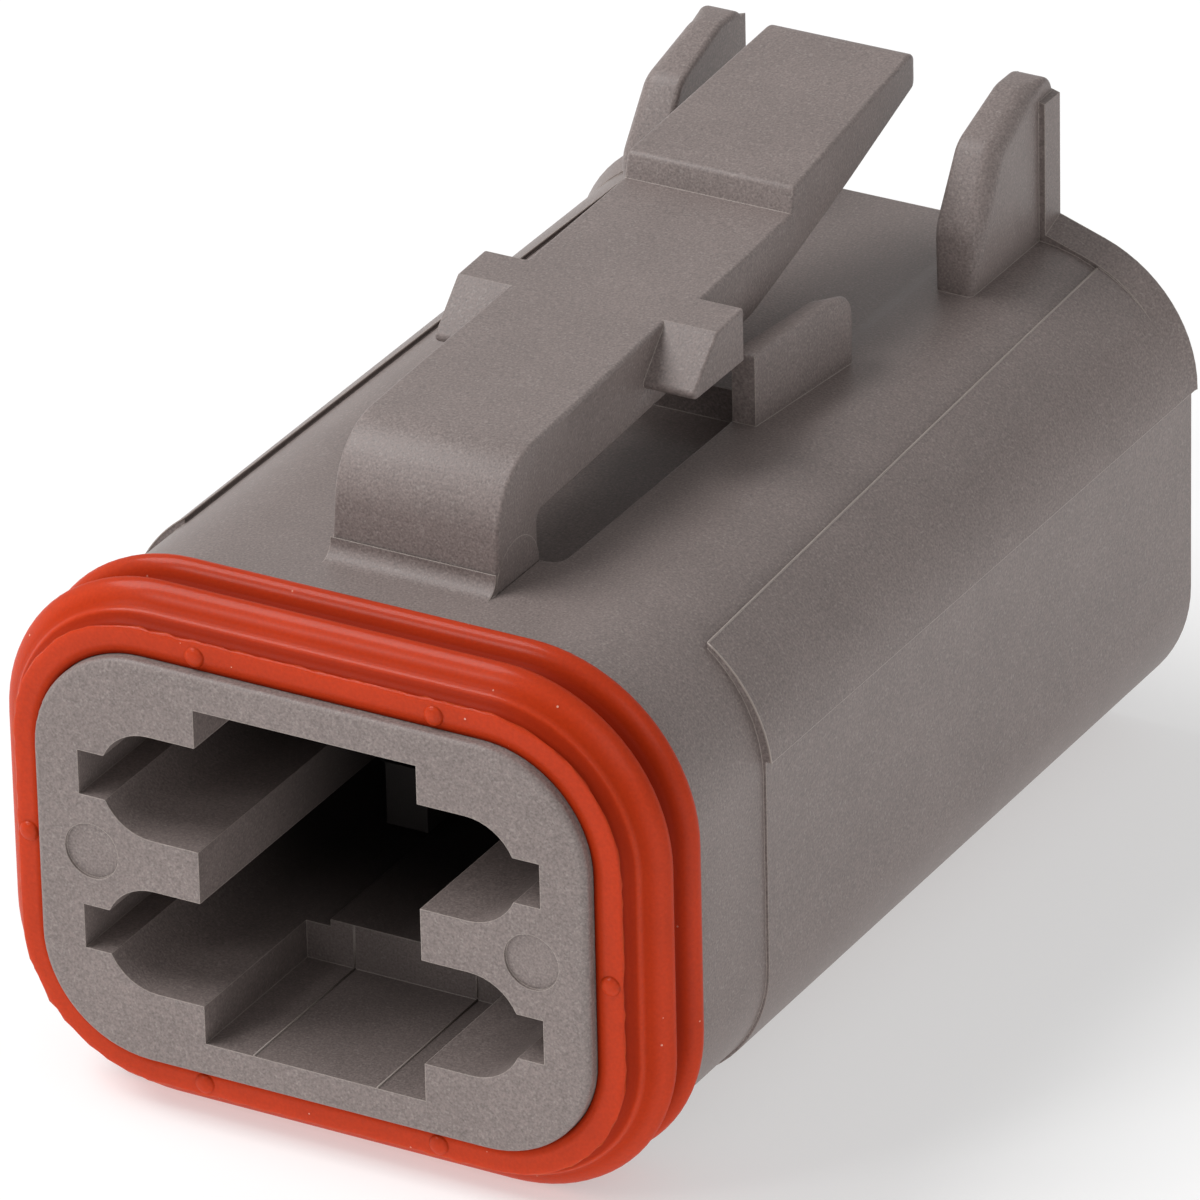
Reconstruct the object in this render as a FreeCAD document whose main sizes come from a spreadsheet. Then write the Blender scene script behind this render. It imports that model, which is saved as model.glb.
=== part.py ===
import FreeCAD, Part
import math
import os
import Sketcher

# Sealed plug housing of a four-way wire connector, in millimetres.
# Each sub-part is drawn with its own origin on the axis of the mating nose, at the nose's front face:
# X runs across, Y runs back from the mating face and Z runs up to the latch.

# Driving dimensions
SIZES = {
    # Whole housing, from the mating face to the rear rim
    "overall_length": 42.6,
    # Overlap of joined solids, and how far a cut starts outside what it cuts
    "joint_overlap": 1.0,
    "cut_margin": 1.0,
    # Nose that enters the mating half
    "nose_side_inset": 1.96,
    "nose_half_height": 7.96,
    "nose_corner": 4.3,
    "nose_proud": 0.48,
    "nose_edge": 0.25,
    "mark_offset": 8.85,
    "mark_radius": 1.08,
    "mark_depth": 0.12,
    # Outer shell
    "upper_half_width": 13.06,
    "side_step_width": 0.26,
    "top_height": 9.39,
    "bottom_depth": 9.7,
    "upper_corner": 6.0,
    "lower_corner": 5.6,
    "side_step_height": 4.1,
    "band_length": 5.05,
    "band_inset": 0.12,
    "parting_front": 10.56,
    "parting_rear": 9.55,
    "trough_half_width": 4.25,
    "trough_slope": 0.75,
    "trough_depth": 0.28,
    # Rim over the rear top corners
    "rim_length": 1.2,
    "rim_proud": 0.67,
    "rim_fall": 1.9,
    "rim_corner": 5.6,
    "rim_taper": 17.0,
    # Wedge cavity with its four contact channels
    "column_half_width": 4.46,
    "column_half_height": 6.62,
    "floor_ledge_depth": 7.1,
    "floor_ledge_height": 1.77,
    "cavity_depth": 18.0,
    "contact_half_pitch_x": 6.34,
    "contact_half_pitch_z": 3.07,
    "channel_radius": 2.055,
    "notch_half_height": 0.87,
    "notch_reach": 9.26,
    "contact_bore_radius": 1.75,
    # Fingers that hold the contacts
    "finger_length": 4.6,
    "finger_root": 0.5,
    "finger_thickness": 0.85,
    "finger_half_width": 1.25,
    "finger_gap": 0.55,
    "hook_length": 1.2,
    "hook_reach": 0.85,
    # Rear pocket with the wire seal and its plate
    "rear_wall": 1.8,
    "rear_fit": 0.05,
    "grommet_length": 9.6,
    "grommet_rib_height": 0.35,
    "grommet_rib_length": 1.6,
    "wire_bore_radius": 1.6,
    "wire_lip_radius": 1.0,
    "wire_lip_length": 1.0,
    "wire_lip_root": 0.2,
    "plate_thickness": 2.6,
    "plate_recess": 0.4,
    "plate_hole_radius": 1.95,
    "plate_hole_flare": 0.35,
    # Interface seal
    "seal_fit": 0.03,
    "seal_side_proud": 0.25,
    "seal_length": 4.24,
    "seal_face_width": 1.07,
    "seal_step_depth": 0.22,
    "seal_step_drop": 0.08,
    "seal_groove_height": 1.38,
    "seal_rib_crest": 0.6,
    "seal_rib_base": 1.2,
    "seal_rib_round": 0.24,
    "seal_rib_first": 1.47,
    "seal_rib_pitch": 1.95,
    "pip_offset_x": 4.77,
    "pip_inset": 0.52,
    "pip_radius": 0.4,
    "pip_height": 0.18,
    "pip_root": 0.3,
    # Latch
    "leg_front": 7.8,
    "leg_thickness": 3.0,
    "leg_half_width": 3.33,
    "leg_lean": 0.5,
    "leg_collar": 0.7,
    "leg_collar_edge": 0.03,
    "hinge_fit": 0.05,
    "arm_height": 4.51,
    "arm_bend": 2.8,
    "arm_inner_bend": 0.4,
    "arm_rise": 0.95,
    "arm_thickness": 2.7,
    "arm_half_width": 3.29,
    "arm_edge": 0.16,
    "arm_taper_start": 3.2,
    "belly_start": 9.1,
    "belly_drop": 0.2,
    "belly_end": 3.1,
    "belly_rise": 1.0,
    "belly_round": 5.0,
    "neck_run": 4.4,
    "neck_drop": 0.75,
    "step_depth": 29.3,
    "step_run": 0.3,
    "step_height": 0.95,
    "step_round": 0.3,
    "step_half_width": 3.05,
    "pad_end": 39.4,
    "pad_rise": 1.25,
    "pad_lean": 0.5,
    "pad_lip": 1.0,
    "pad_thickness": 1.45,
    "pad_end_round": 0.3,
    "pad_top_round": 0.5,
    "pad_half_width": 2.73,
    "pad_corner": 0.7,
    "wing_half_width": 5.3,
    "wing_front": 18.3,
    "wing_ramp": 2.1,
    "wing_lock": 22.3,
    "wing_height": 2.05,
    "wing_edge": 0.22,
    "wing_side_edge": 0.12,
    # Recess and guards in the shell's top
    "recess_half_width": 4.2,
    "recess_depth": 1.6,
    "recess_end": 26.0,
    "recess_corner": 0.6,
    "fence_front": 23.3,
    "fence_length": 5.7,
    "fence_front_offset": 5.15,
    "fence_rear_offset": 5.8,
    "fence_thickness": 0.95,
    "fence_height": 2.8,
    "fence_round": 1.0,
    "fence_edge": 0.14,
    "ear_inner": 5.67,
    "ear_thickness": 1.48,
    "ear_length": 6.6,
    "ear_height": 6.36,
    "ear_top_round": 0.8,
    "ear_crown_length": 1.9,
    "ear_shoulder": 4.6,
    "ear_shoulder_drop": 1.15,
    "ear_foot_height": 2.3,
    "ear_foot_lean": 0.1,
    "ear_bend": 1.5,
    "ear_edge": 0.22,
    "ear_rim_proud": 0.26,
    "ear_rim_drop_inner": 0.3,
    "ear_rim_drop_outer": 0.8,
}

doc = FreeCAD.newDocument("sealed_connector")
sheet = doc.addObject("Spreadsheet::Sheet", "Sizes")


class Size:
    """A length that knows its number and the expression that gives it."""

    def __init__(self, value, text):
        self.value = value
        self.text = text

    def __add__(self, other):
        other = as_size(other)
        return Size(self.value + other.value, f"({self.text} + {other.text})")

    def __sub__(self, other):
        other = as_size(other)
        return Size(self.value - other.value, f"({self.text} - {other.text})")

    def __mul__(self, factor):
        return Size(self.value * factor, f"({self.text} * {factor})")

    def __neg__(self):
        return self * -1

    def share(self, part, whole):
        """The same share of this length as one length is of another."""
        return Size(self.value * part.value / whole.value, f"({self.text} * {part.text} / {whole.text})")


def as_size(value):
    """A plain number as a size."""
    return value if isinstance(value, Size) else Size(value, f"({value})")


def fill_sheet():
    """Write every driving dimension into the sheet and give it back under its name."""
    for row, (name, value) in enumerate(SIZES.items(), start=1):
        sheet.set(f"A{row}", name)
        sheet.set(f"B{row}", str(value))
        sheet.setAlias(f"B{row}", name)
    doc.recompute()
    return {name: Size(float(sheet.get(name)), f"Sizes.{name}") for name in SIZES}


size = fill_sheet()
zero = Size(0.0, "0")

# Places that several sub-parts share
lower_half_width = size["upper_half_width"] - size["side_step_width"]
nose_half_width = size["upper_half_width"] - size["nose_side_inset"]
seal_rib_height = size["nose_side_inset"] + size["seal_side_proud"] - size["seal_fit"]
body_front = size["nose_proud"] + size["seal_length"] + size["seal_fit"]
main_front = body_front + size["band_length"]
hinge_depth = size["leg_front"] + size["leg_thickness"] * 0.5
leg_rear = size["leg_front"] + size["leg_thickness"]
pocket_depth = (size["grommet_length"] + size["plate_thickness"] + size["plate_recess"]
                + size["rear_fit"] * 2)
pocket_front = size["overall_length"] - pocket_depth
pocket_half_width = lower_half_width - size["rear_wall"]
pocket_half_height = size["bottom_depth"] - size["rear_wall"]
pocket_corner = size["lower_corner"] - size["rear_wall"]
ear_outer = size["ear_inner"] + size["ear_thickness"] + size["ear_rim_proud"]
axis_height = size["nose_half_height"] + size["seal_fit"] + seal_rib_height
contact_places = [
    (size["contact_half_pitch_x"] * side, size["contact_half_pitch_z"] * level)
    for level in (-1, 1)
    for side in (-1, 1)
]


def new_body(name):
    """An empty body whose origin lies on the nose axis, half the length in front of the middle."""
    body = doc.addObject("PartDesign::Body", name)
    body.Label = name
    body.setExpression("Placement.Base.y", (size["overall_length"] * -0.5).text)
    body.setExpression("Placement.Base.z", axis_height.text)
    return body


def origin_plane(body, role):
    """One of the body's own origin planes."""
    return next(item for item in body.Origin.OriginFeatures if item.Role == role)


def sketch_on(body, name, role, along=None):
    """A sketch on one of the body's planes, moved along the plane's normal."""
    sketch = body.newObject("Sketcher::SketchObject", name)
    sketch.AttachmentSupport = (origin_plane(body, role), [""])
    sketch.MapMode = "FlatFace"
    if along is not None:
        sketch.setExpression("AttachmentOffset.Base.z", along.text)
    return sketch


def across_sketch(body, name, depth):
    """A sketch that stands across the connector at a depth behind the mating face."""
    return sketch_on(body, name, "XZ_Plane", -as_size(depth))


def hold_point(sketch, geometry, vertex, across, up):
    """Tie a point to its two coordinates."""
    for kind, coordinate in (("DistanceX", across), ("DistanceY", up)):
        if coordinate is zero:
            axis = -2 if kind == "DistanceX" else -1
            sketch.addConstraint(Sketcher.Constraint("PointOnObject", geometry, vertex, axis))
            continue
        index = sketch.addConstraint(
            Sketcher.Constraint(kind, -1, 1, geometry, vertex, coordinate.value))
        sketch.setExpression(f"Constraints[{index}]", coordinate.text)


def circle(sketch, across, up, radius):
    """A circle held at its centre and radius."""
    centre = FreeCAD.Vector(across.value, up.value, 0)
    index = sketch.addGeometry(Part.Circle(centre, FreeCAD.Vector(0, 0, 1), radius.value))
    hold_point(sketch, index, 3, across, up)
    held = sketch.addConstraint(Sketcher.Constraint("Radius", index, radius.value))
    sketch.setExpression(f"Constraints[{held}]", radius.text)


def corner_arc(before, corner, after, radius):
    """The tangent arc at a corner: its start, its end, its curve and whether it turns left."""
    into = (corner - before).normalize()
    out = (after - corner).normalize()
    turn = math.atan2(into.x * out.y - into.y * out.x, into.dot(out))
    setback = radius * math.tan(abs(turn) / 2)
    start = corner - into * setback
    end = corner + out * setback
    side = FreeCAD.Vector(-into.y, into.x, 0) * math.copysign(radius, turn)
    centre = start + side
    first, last = (start, end) if turn > 0 else (end, start)
    base = Part.Circle(centre, FreeCAD.Vector(0, 0, 1), radius)
    curve = Part.ArcOfCircle(base, base.parameter(first), base.parameter(last))
    return start, end, curve, turn > 0


def outline(sketch, corners):
    """Close a line round corners given as (across, up) or (across, up, radius)."""
    corners = [tuple(as_size(value) if value is not zero else value for value in corner)
               for corner in corners]
    points = [FreeCAD.Vector(corner[0].value, corner[1].value, 0) for corner in corners]
    count = len(corners)
    ends = []
    arcs = {}
    for number, corner in enumerate(corners):
        if len(corner) == 2:
            ends.append((points[number], points[number]))
            continue
        start, end, curve, turns_left = corner_arc(
            points[number - 1], points[number], points[(number + 1) % count], corner[2].value)
        ends.append((start, end))
        arcs[number] = (sketch.addGeometry(curve), turns_left)
    lines = [sketch.addGeometry(Part.LineSegment(ends[number][1], ends[(number + 1) % count][0]))
             for number in range(count)]
    for number, corner in enumerate(corners):
        incoming = lines[number - 1]
        outgoing = lines[number]
        if number not in arcs:
            sketch.addConstraint(Sketcher.Constraint("Coincident", incoming, 2, outgoing, 1))
            hold_point(sketch, outgoing, 1, corner[0], corner[1])
            continue
        arc, turns_left = arcs[number]
        arc_start, arc_end = (1, 2) if turns_left else (2, 1)
        apex = sketch.addGeometry(Part.Point(points[number]), True)
        sketch.addConstraint([
            Sketcher.Constraint("Tangent", incoming, 2, arc, arc_start),
            Sketcher.Constraint("Tangent", arc, arc_end, outgoing, 1),
            Sketcher.Constraint("PointOnObject", apex, 1, incoming),
            Sketcher.Constraint("PointOnObject", apex, 1, outgoing),
        ])
        held = sketch.addConstraint(Sketcher.Constraint("Radius", arc, corner[2].value))
        sketch.setExpression(f"Constraints[{held}]", corner[2].text)
        hold_point(sketch, apex, 1, corner[0], corner[1])


def rectangle(sketch, left, right, low, high):
    """A plain rectangle between two sides and two levels."""
    outline(sketch, [(left, low), (right, low), (right, high), (left, high)])


def rounded_rectangle(sketch, half_width, half_height, radius):
    """A rectangle about the axis with four equal corners."""
    outline(sketch, [
        (-half_width, -half_height, radius), (half_width, -half_height, radius),
        (half_width, half_height, radius), (-half_width, half_height, radius)])


def pad(body, name, sketch, length, back=False, both_ways=False):
    """Add the sketch's area over a length."""
    feature = body.newObject("PartDesign::Pad", name)
    feature.Profile = sketch
    feature.setExpression("Length", length.text)
    feature.Reversed = back
    feature.Midplane = both_ways
    return feature


def pocket(body, name, sketch, length, back=False, both_ways=False):
    """Cut the sketch's area away over a length."""
    feature = body.newObject("PartDesign::Pocket", name)
    feature.Profile = sketch
    feature.setExpression("Length", length.text)
    feature.Reversed = back
    feature.Midplane = both_ways
    return feature


def round_edges(body, name, radius, chosen):
    """Round the edges of the body's last feature that a test picks by their middle and length."""
    doc.recompute()
    base = body.Tip
    names = []
    for number, edge in enumerate(base.Shape.Edges, start=1):
        middle = edge.valueAt((edge.FirstParameter + edge.LastParameter) / 2)
        if chosen(edge, middle):
            names.append(f"Edge{number}")
    if not names:
        raise RuntimeError(f"{name} found no edge to round")
    feature = body.newObject("PartDesign::Fillet", name)
    feature.Base = (base, names)
    feature.setExpression("Radius", radius.text)
    return feature


def build_housing():
    """The moulded shell with its nose, cavities, guards and the seat of the latch."""
    body = new_body("housing")
    shell_end = size["overall_length"]

    sketch = across_sketch(body, "nose_section", zero)
    rounded_rectangle(sketch, nose_half_width, size["nose_half_height"], size["nose_corner"])
    pad(body, "nose", sketch, body_front + size["joint_overlap"], back=True)
    round_edges(body, "nose_front_round", size["nose_edge"], lambda edge, middle: abs(middle.y) < 0.01)

    # The cheeks stand proud of the top, from the parting line outwards and down to the side step
    sketch = across_sketch(body, "cheek_section", main_front)
    outline(sketch, [
        (-size["upper_half_width"], zero), (size["upper_half_width"], zero),
        (size["upper_half_width"], size["top_height"], size["upper_corner"]),
        (-size["upper_half_width"], size["top_height"], size["upper_corner"])])
    pad(body, "cheeks", sketch, shell_end - main_front, back=True)

    sketch = sketch_on(body, "parting_plan", "XY_Plane")
    outline(sketch, [
        (-size["parting_front"], main_front), (size["parting_front"], main_front),
        (size["parting_rear"], shell_end), (-size["parting_rear"], shell_end)])
    pocket(body, "between_cheeks", sketch, size["top_height"] + size["cut_margin"], back=True)

    # The rim at the rear stands prouder still, and fades into the cheeks in front of it
    rim_top = size["top_height"] + size["rim_proud"]
    sketch = across_sketch(body, "rear_rim_section", shell_end)
    for side in (-1, 1):
        outline(sketch, [
            ((ear_outer - size["joint_overlap"]) * side, rim_top),
            ((ear_outer - size["joint_overlap"]) * side, zero),
            (size["upper_half_width"] * side, zero),
            (size["upper_half_width"] * side, rim_top - size["rim_fall"], size["rim_corner"]),
            (ear_outer * side, rim_top)][::side])
    rim = pad(body, "rear_rim", sketch, size["rim_length"])
    rim.setExpression("TaperAngle", (-size["rim_taper"]).text)

    sketch = across_sketch(body, "side_step_section", main_front)
    for side in (-1, 1):
        edges = [lower_half_width * side, (size["upper_half_width"] + size["cut_margin"]) * side]
        rectangle(sketch, *edges[::side], -size["cut_margin"], size["side_step_height"])
    pocket(body, "side_step", sketch, shell_end - main_front)

    inset = size["band_inset"]
    sketch = across_sketch(body, "core_section", body_front)
    core_half = lower_half_width - inset
    outline(sketch, [
        (-core_half, inset - size["bottom_depth"], size["lower_corner"] - inset),
        (core_half, inset - size["bottom_depth"], size["lower_corner"] - inset),
        (core_half, size["top_height"], size["upper_corner"] - inset),
        (-core_half, size["top_height"], size["upper_corner"] - inset)])
    pad(body, "core", sketch, shell_end - body_front, back=True)

    sketch = across_sketch(body, "lower_section", main_front)
    outline(sketch, [
        (-lower_half_width, -size["bottom_depth"], size["lower_corner"]),
        (lower_half_width, -size["bottom_depth"], size["lower_corner"]),
        (lower_half_width, size["side_step_height"]),
        (-lower_half_width, size["side_step_height"])])
    pad(body, "lower_shell", sketch, shell_end - main_front, back=True)

    build_guards(body)
    build_cavities(body)
    return body


def build_guards(body):
    """Ears, fences and leg collar on the shell's top, its trough, and the seat of the latch."""
    top = size["top_height"]
    shell_end = size["overall_length"]
    root = top - size["joint_overlap"]

    sketch = across_sketch(body, "trough_section", shell_end)
    floor_half = size["trough_half_width"]
    rise_half = floor_half + size["trough_slope"]
    outline(sketch, [(-floor_half, top - size["trough_depth"]), (floor_half, top - size["trough_depth"]),
                     (rise_half, top), (-rise_half, top)])
    pocket(body, "trough", sketch, shell_end - size["recess_end"] + size["joint_overlap"], back=True)

    ear_front = shell_end - size["ear_length"]
    ear_top = top + size["ear_height"]
    for side, name in ((-1, "left"), (1, "right")):
        sketch = sketch_on(body, f"{name}_ear_profile", "YZ_Plane", size["ear_inner"] * side)
        outline(sketch, [
            (ear_front, root), (shell_end, root), (shell_end, ear_top, size["ear_top_round"]),
            (shell_end - size["ear_crown_length"], ear_top, size["ear_bend"]),
            (shell_end - size["ear_shoulder"], ear_top - size["ear_shoulder_drop"], size["ear_bend"]),
            (ear_front + size["ear_foot_lean"], top + size["ear_foot_height"], size["ear_bend"])])
        pad(body, f"{name}_ear", sketch, size["ear_thickness"], back=side < 0)
    ear_sides = (size["ear_inner"].value, (size["ear_inner"] + size["ear_thickness"]).value)
    round_edges(body, "ear_edges", size["ear_edge"],
                lambda edge, middle: min(abs(abs(middle.x) - across) for across in ear_sides) < 0.001
                and middle.z > top.value + 0.5 and middle.y < shell_end.value - 0.1)

    rim_front = shell_end - size["rim_length"]
    sketch = across_sketch(body, "ear_rim_section", rim_front)
    for side in (-1, 1):
        outline(sketch, [
            (size["ear_inner"] * side, root), (ear_outer * side, root),
            (ear_outer * side, ear_top - size["ear_rim_drop_outer"]),
            (size["ear_inner"] * side, ear_top - size["ear_rim_drop_inner"])][::side])
    pad(body, "ear_rims", sketch, size["rim_length"], back=True)

    sketch = sketch_on(body, "fence_plan", "XY_Plane", top - size["joint_overlap"])
    fence_rear = size["fence_front"] + size["fence_length"]
    for side in (-1, 1):
        outline(sketch, [
            ((size["fence_front_offset"] - size["fence_thickness"]) * side, size["fence_front"]),
            (size["fence_front_offset"] * side, size["fence_front"]),
            (size["fence_rear_offset"] * side, fence_rear),
            ((size["fence_rear_offset"] - size["fence_thickness"]) * side, fence_rear)][::side])
    pad(body, "fences", sketch, size["fence_height"] + size["joint_overlap"])
    fence_top = top + size["fence_height"]
    round_edges(body, "fence_rear_rounds", size["fence_round"],
                lambda edge, middle: abs(middle.z - fence_top.value) < 0.01
                and abs(middle.y - fence_rear.value) < 0.05)
    round_edges(body, "fence_edges", size["fence_edge"],
                lambda edge, middle: abs(middle.z - fence_top.value) < 0.01
                and middle.y < fence_rear.value and abs(middle.x) > size["trough_half_width"].value)

    sketch = sketch_on(body, "collar_profile", "YZ_Plane")
    collar = size["leg_collar"]
    edge = size["leg_collar_edge"]
    outline(sketch, [
        (size["leg_front"] - collar - edge * 2, top), (size["leg_front"], root),
        (size["leg_front"], top + collar + edge), (size["leg_front"] - edge, top + collar + edge),
        (size["leg_front"] - edge, top, collar)])
    pad(body, "leg_collar", sketch, size["leg_half_width"] * 2, both_ways=True)

    sketch = sketch_on(body, "recess_plan", "XY_Plane", top)
    half = size["recess_half_width"]
    seat_rear = leg_rear - size["hinge_fit"]
    corner = size["recess_corner"]
    outline(sketch, [
        (-half, seat_rear, corner), (half, seat_rear, corner),
        (half, size["recess_end"], corner), (-half, size["recess_end"], corner)])
    pocket(body, "latch_recess", sketch, size["recess_depth"])

    sketch = sketch_on(body, "hinge_seat_circle", "YZ_Plane")
    circle(sketch, hinge_depth, top, size["leg_thickness"] * 0.5 + size["hinge_fit"])
    pocket(body, "hinge_seat", sketch, (size["leg_half_width"] + size["hinge_fit"]) * 2, both_ways=True)


def build_cavities(body):
    """Wedge cavity, contact channels and bores, and the pocket of the wire seal."""
    column = size["column_half_width"]
    ledge_top = size["floor_ledge_height"] - size["column_half_height"]

    sketch = across_sketch(body, "column_section", zero)
    rectangle(sketch, -column, column, ledge_top, size["column_half_height"])
    pocket(body, "wedge_column", sketch, size["cavity_depth"])

    sketch = across_sketch(body, "floor_section", zero)
    rectangle(sketch, -column, column, -size["column_half_height"], ledge_top)
    pocket(body, "floor_recess", sketch, size["floor_ledge_depth"])

    channels = across_sketch(body, "channel_section", zero)
    rounds = across_sketch(body, "channel_round_section", zero)
    notches = across_sketch(body, "notch_section", zero)
    bores = across_sketch(body, "contact_bore_section", size["cavity_depth"] - size["cut_margin"])
    for across, up in contact_places:
        side = 1 if across.value > 0 else -1
        inner = (column - size["cut_margin"]) * side
        outer = size["notch_reach"] * side
        rectangle(channels, *[inner, across][::side], up - size["channel_radius"],
                  up + size["channel_radius"])
        circle(rounds, across, up, size["channel_radius"])
        rectangle(notches, *[across, outer][::side], up - size["notch_half_height"],
                  up + size["notch_half_height"])
        circle(bores, across, up, size["contact_bore_radius"])
    pocket(body, "contact_channels", channels, size["cavity_depth"])
    pocket(body, "channel_rounds", rounds, size["cavity_depth"])
    pocket(body, "channel_notches", notches, size["cavity_depth"])

    sketch = across_sketch(body, "rear_pocket_section", size["overall_length"])
    rounded_rectangle(sketch, pocket_half_width, pocket_half_height, pocket_corner)
    pocket(body, "rear_pocket", sketch, pocket_depth, back=True)
    pocket(body, "contact_bores", bores, pocket_front - size["cavity_depth"] + size["cut_margin"] * 2)

    finger_outer = column - size["finger_gap"]
    finger_inner = finger_outer - size["finger_thickness"]
    finger_front = size["cavity_depth"] - size["finger_length"]
    fingers = across_sketch(body, "finger_section", size["cavity_depth"] + size["finger_root"])
    hooks = across_sketch(body, "hook_section", finger_front + size["hook_length"])
    for across, up in contact_places:
        side = 1 if across.value > 0 else -1
        rectangle(fingers, *[finger_inner * side, finger_outer * side][::side],
                  up - size["finger_half_width"], up + size["finger_half_width"])
        hook_tip = (finger_outer + size["hook_reach"]) * side
        rectangle(hooks, *[finger_inner * side, hook_tip][::side],
                  up - size["finger_half_width"], up + size["finger_half_width"])
    pad(body, "contact_fingers", fingers, size["finger_length"] + size["finger_root"])
    pad(body, "finger_hooks", hooks, size["hook_length"])

    sketch = across_sketch(body, "mark_section", zero)
    for side in (-1, 1):
        circle(sketch, size["mark_offset"] * side, zero, size["mark_radius"])
    pocket(body, "mould_marks", sketch, size["mark_depth"])


def build_latch():
    """The latch arm with its leg, finger pad and locking wings, turning on a round root."""
    body = new_body("latch_arm")
    top = size["top_height"]
    arm_top = top + size["arm_height"]
    arm_start = size["leg_front"] + size["leg_lean"]
    step_low = arm_top + size["arm_rise"]
    pad_top = step_low + size["step_height"]
    pad_end_top = pad_top + size["pad_rise"]
    pad_tip = size["pad_end"] - size["pad_lean"]
    underside = arm_top - size["arm_thickness"]

    sketch = sketch_on(body, "latch_profile", "YZ_Plane")
    outline(sketch, [
        (size["leg_front"], top), (leg_rear, top), (leg_rear, underside, size["arm_inner_bend"]),
        (size["leg_front"] + size["belly_start"], underside + size["belly_drop"]),
        (size["step_depth"] - size["belly_end"], underside + size["belly_rise"], size["belly_round"]),
        (size["step_depth"] + size["neck_run"], step_low - size["neck_drop"], size["belly_round"]),
        (pad_tip, pad_end_top - size["pad_thickness"], size["pad_end_round"]),
        (size["pad_end"], pad_end_top - size["pad_lip"], size["pad_end_round"]),
        (pad_tip, pad_end_top, size["pad_top_round"]),
        (size["step_depth"] + size["step_run"], pad_top, size["step_round"]),
        (size["step_depth"], step_low), (arm_start, arm_top, size["arm_bend"])])
    pad(body, "latch_side", sketch, size["leg_half_width"] * 2, both_ways=True)

    sketch = sketch_on(body, "latch_plan", "XY_Plane", top - size["cut_margin"])
    margin = size["leg_half_width"] + size["cut_margin"]
    front = size["leg_front"] - size["cut_margin"]
    rear = size["pad_end"] + size["cut_margin"]
    rectangle(sketch, -margin, margin, front - size["cut_margin"], rear)
    half = [(size["leg_half_width"], front), (size["arm_half_width"], leg_rear + size["arm_taper_start"]),
            (size["step_half_width"], size["step_depth"]),
            (size["pad_half_width"], size["pad_end"], size["pad_corner"])]
    outline(sketch, half + [(-corner[0], *corner[1:]) for corner in reversed(half)])
    pocket(body, "latch_taper", sketch, size["arm_height"] * 3, back=True)
    round_edges(body, "latch_edges", size["arm_edge"],
                lambda edge, middle: abs(middle.x) > size["pad_half_width"].value - 0.01
                and middle.z > underside.value + 0.6
                and middle.y < size["pad_end"].value - size["pad_corner"].value)

    sketch = sketch_on(body, "root_circle", "YZ_Plane")
    circle(sketch, hinge_depth, top, size["leg_thickness"] * 0.5)
    pad(body, "hinge_root", sketch, size["leg_half_width"] * 2, both_ways=True)

    sketch = sketch_on(body, "wing_profile", "YZ_Plane")
    arm_run = size["step_depth"] - arm_start
    crest = size["wing_front"] + size["wing_ramp"]
    lock_top = arm_top + size["arm_rise"].share(size["wing_lock"] - arm_start, arm_run)
    crest_top = arm_top + size["arm_rise"].share(crest - arm_start, arm_run)
    wing_low = lock_top - size["wing_height"]
    outline(sketch, [
        (size["wing_front"], wing_low, size["wing_edge"]), (size["wing_lock"], wing_low),
        (size["wing_lock"], lock_top), (crest, crest_top)])
    pad(body, "wings", sketch, size["wing_half_width"] * 2, both_ways=True)
    round_edges(body, "wing_side_edges", size["wing_side_edge"],
                lambda edge, middle: abs(abs(middle.x) - size["wing_half_width"].value) < 0.001)
    return body


def build_seal():
    """The ribbed seal round the root of the nose."""
    body = new_body("interface_seal")
    inner_height = size["nose_half_height"] + size["seal_fit"]
    path = across_sketch(body, "seal_path", zero)
    rounded_rectangle(path, nose_half_width + size["seal_fit"], inner_height,
                      size["nose_corner"] + size["seal_fit"])
    section = sketch_on(body, "seal_section", "YZ_Plane")
    face = size["nose_proud"]
    rear = size["nose_proud"] + size["seal_length"]
    groove = inner_height + size["seal_groove_height"]
    crest = inner_height + seal_rib_height
    step = inner_height + size["seal_face_width"]
    corners = [(face, inner_height), (face, step),
               (face + size["seal_step_depth"], step - size["seal_step_drop"])]
    slope = (size["seal_rib_base"] - size["seal_rib_crest"]) * 0.5
    for number in range(2):
        start = face + size["seal_rib_first"] - size["seal_rib_base"] * 0.5 + size["seal_rib_pitch"] * number
        end = start + size["seal_rib_base"]
        if number:
            corners.append((start, groove))
        corners += [(start + slope, crest, size["seal_rib_round"]),
                    (end - slope, crest, size["seal_rib_round"]), (end, groove)]
    corners += [(rear, groove), (rear, inner_height)]
    outline(section, corners[::-1])
    doc.recompute()
    ring = body.newObject("PartDesign::AdditivePipe", "seal_ring")
    ring.Profile = section
    ring.Spine = (path, [])
    ring.Transition = 0

    sketch = across_sketch(body, "pip_section", face + size["pip_root"])
    pip_side = nose_half_width + size["seal_face_width"] - size["pip_inset"]
    pip_up = step - size["pip_inset"]
    places = [(pip_side, zero), (-pip_side, zero)]
    places += [(size["pip_offset_x"] * side, pip_up * level) for side in (-1, 1) for level in (-1, 1)]
    for across, up in places:
        circle(sketch, across, up, size["pip_radius"])
    pad(body, "pips", sketch, size["pip_height"] + size["pip_root"])
    return body


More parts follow.
